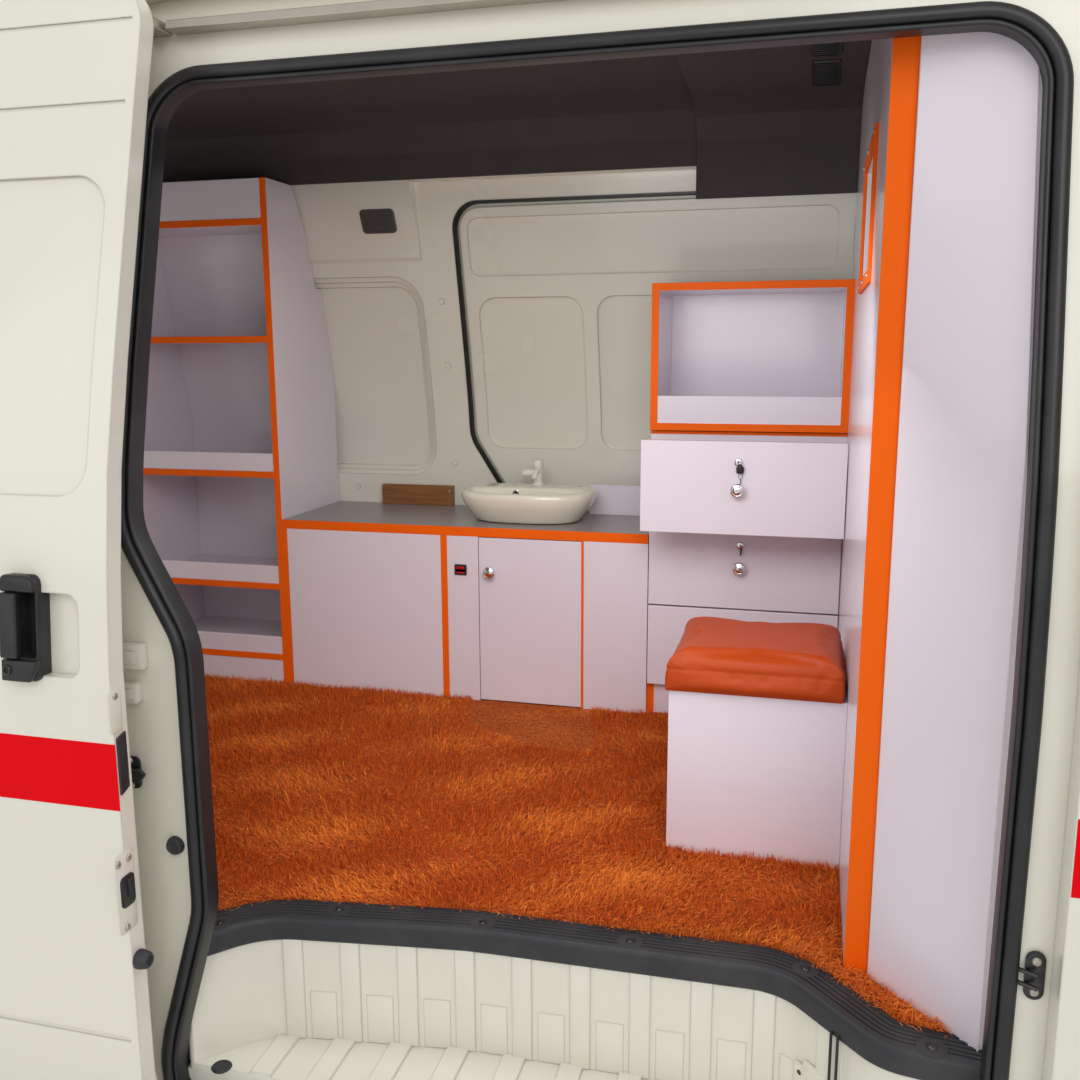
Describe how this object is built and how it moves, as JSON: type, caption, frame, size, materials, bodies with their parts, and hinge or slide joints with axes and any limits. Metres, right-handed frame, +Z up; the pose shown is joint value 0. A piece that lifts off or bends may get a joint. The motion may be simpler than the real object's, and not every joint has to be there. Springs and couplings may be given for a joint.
{
  "type": "ambulance patient compartment",
  "caption": "Patient compartment of a high-roof ambulance van with a side door slid open, shelves, worktop with basin, drawers, partition and padded bench.",
  "frame": {"origin": "flat underside of the front floor bearer, on the vehicle's centreline, below the rear face of the partition", "axes": "+X to the vehicle's front, +Y to the vehicle's left, +Z up"},
  "size_m": [2.81, 1.879, 2.092],
  "materials": {
    "frame_steel": "satin black",
    "floor_steel": "satin",
    "body_paint": "gloss cream white",
    "carpet_pile": "shaggy orange pile",
    "tread_rubber": "ribbed matt black",
    "black_plastic": "satin black",
    "rail_metal": "satin",
    "dark_metal": "dark zinc",
    "seal_rubber": "soft black",
    "stripe_red": "gloss red film",
    "headliner_dark": "dark grey-brown moulded lining",
    "laminate": "pale lavender-white laminate",
    "worktop_laminate": "pale grey laminate",
    "edging_orange": "gloss orange edging",
    "hatch_glass": "smoked pane",
    "chrome_fittings": "polished",
    "ceramic": "ivory glaze",
    "tap_plastic": "white",
    "batten_wood": "plain brown wood",
    "leatherette": "smooth orange-brown leatherette"
  },
  "bodies": {
    "compartment": {"floor_frame": "frame_steel", "floor_pan": "floor_steel", "near_side": "body_paint", "far_side": "body_paint", "roof_skin": "body_paint", "near_door": "body_paint", "far_door": "body_paint", "step_well": "body_paint", "rear_frame": "body_paint", "carpet": "carpet_pile", "tread_strip": "tread_rubber", "door_handles": "black_plastic", "side_vents": "black_plastic", "roof_vents": "black_plastic", "switch": "black_plastic", "door_rails": "rail_metal", "door_carriages": "rail_metal", "column_runners": "rail_metal", "striker_stops": "dark_metal", "near_seal": "seal_rubber", "far_seal": "seal_rubber", "side_stripes": "stripe_red", "headliner": "headliner_dark", "headliner_front": "headliner_dark", "partition": "laminate", "closure_panel": "laminate", "shelf_unit": "laminate", "shelf_back": "laminate", "shelf_boards": "laminate", "shelf_lips": "laminate", "base_carcass": "laminate", "base_panels": "laminate", "backsplash": "laminate", "column_carcass": "laminate", "top_box": "laminate", "bench_box": "laminate", "worktop": "worktop_laminate", "partition_edging": "edging_orange", "hatch_frame": "edging_orange", "shelf_edging": "edging_orange", "base_edging": "edging_orange", "worktop_edging": "edging_orange", "column_edging": "edging_orange", "top_box_edging": "edging_orange", "hatch_pane": "hatch_glass", "basin": "ceramic", "tap": "tap_plastic", "wall_batten": "batten_wood", "bench_cushion": "leatherette"},
    "drawer_1": {"drawer_1": "laminate", "drawer_1_pulls": "chrome_fittings"},
    "drawer_2": {"drawer_2": "laminate", "drawer_2_pulls": "chrome_fittings"},
    "drawer_3": {"drawer_3": "laminate", "drawer_3_pulls": "chrome_fittings"},
    "cupboard_door": {"cupboard_door": "laminate", "cupboard_knob": "chrome_fittings"}
  },
  "joints": [
    {"name": "drawer_1_slide", "type": "slide", "parent": "compartment", "child": "drawer_1", "axis": [0, -1, 0], "range_m": [-0.15, 0.13]},
    {"name": "drawer_2_slide", "type": "slide", "parent": "compartment", "child": "drawer_2", "axis": [0, -1, 0], "range_m": [0, 0.28]},
    {"name": "drawer_3_slide", "type": "slide", "parent": "compartment", "child": "drawer_3", "axis": [0, -1, 0], "range_m": [0, 0.28]},
    {"name": "cupboard_door_hinge", "type": "hinge", "parent": "compartment", "child": "cupboard_door", "pos_m": [-0.6493, 0.44, 0.6], "axis": [0, 0, 1], "range_deg": [0, 105]}
  ]
}
